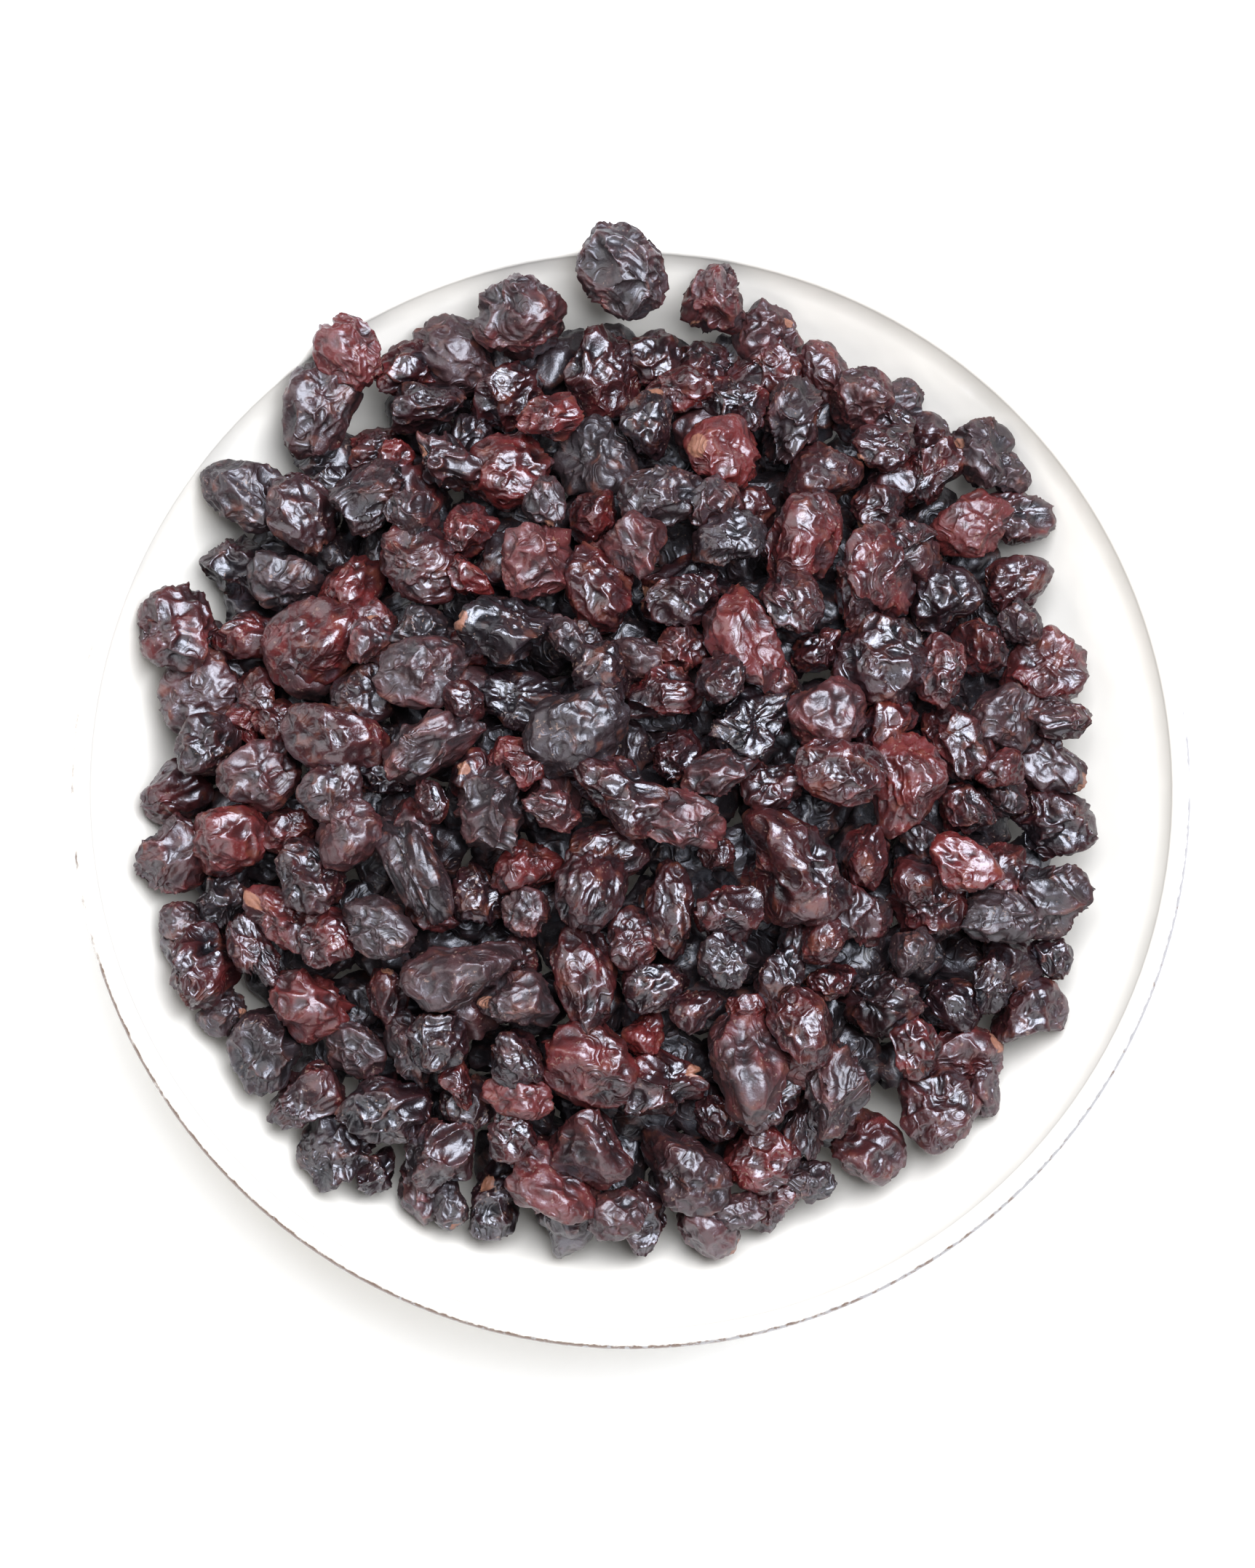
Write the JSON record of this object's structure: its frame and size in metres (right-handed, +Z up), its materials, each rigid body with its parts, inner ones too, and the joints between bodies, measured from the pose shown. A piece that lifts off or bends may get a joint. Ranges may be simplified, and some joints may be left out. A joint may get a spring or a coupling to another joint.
{
  "type": "bowl of dried berries",
  "caption": "Small round glazed bowl on a foot ring, heaped above its rim with wrinkled dried berries.",
  "frame": {"origin": "centre of the foot ring, on the surface that the bowl stands on", "axes": "+Z up, -Y towards the viewer of the picture, +X to the viewer's right"},
  "size_m": [0.135, 0.135, 0.0595],
  "materials": {
    "bowl": "glossy off-white glaze with a thin worn brown line along the rim and a few tiny specks",
    "berries": "wrinkled, slightly sticky skins from near-black purple to wine red, with dusty paler ridges"
  },
  "bodies": {
    "root": {"bowl": "bowl", "berry_heap": "berries"}
  },
  "joints": []
}
